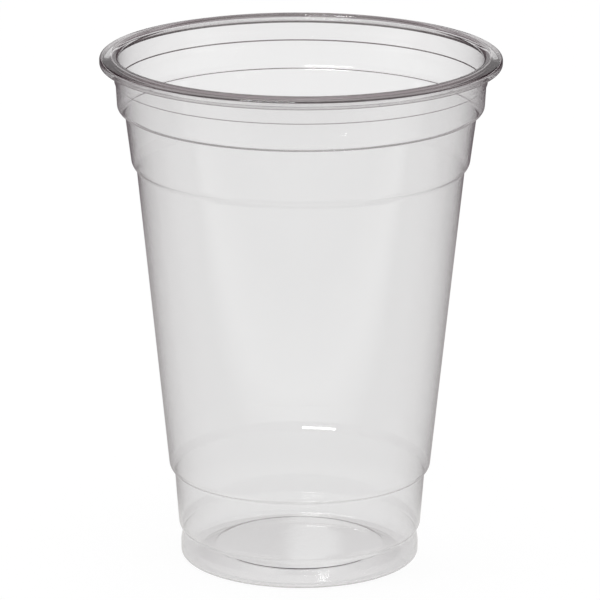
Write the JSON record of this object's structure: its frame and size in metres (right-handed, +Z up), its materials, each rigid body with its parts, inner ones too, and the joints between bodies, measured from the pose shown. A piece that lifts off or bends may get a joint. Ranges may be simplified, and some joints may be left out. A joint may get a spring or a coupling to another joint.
{
  "type": "disposable cup",
  "caption": "Clear thermoformed plastic cup with a rolled rim, stepped collar and shoulder, tapered body and a narrow foot, for holding a cold drink.",
  "frame": {"origin": "middle of the resting plane under the foot", "axes": "+Z up along the cup's axis, out of its mouth; X and Y are free because the cup is round"},
  "size_m": [0.095, 0.095, 0.1235],
  "materials": {
    "clear_sheet": "clear, glossy"
  },
  "bodies": {
    "root": {"cup": "clear_sheet"}
  },
  "joints": []
}
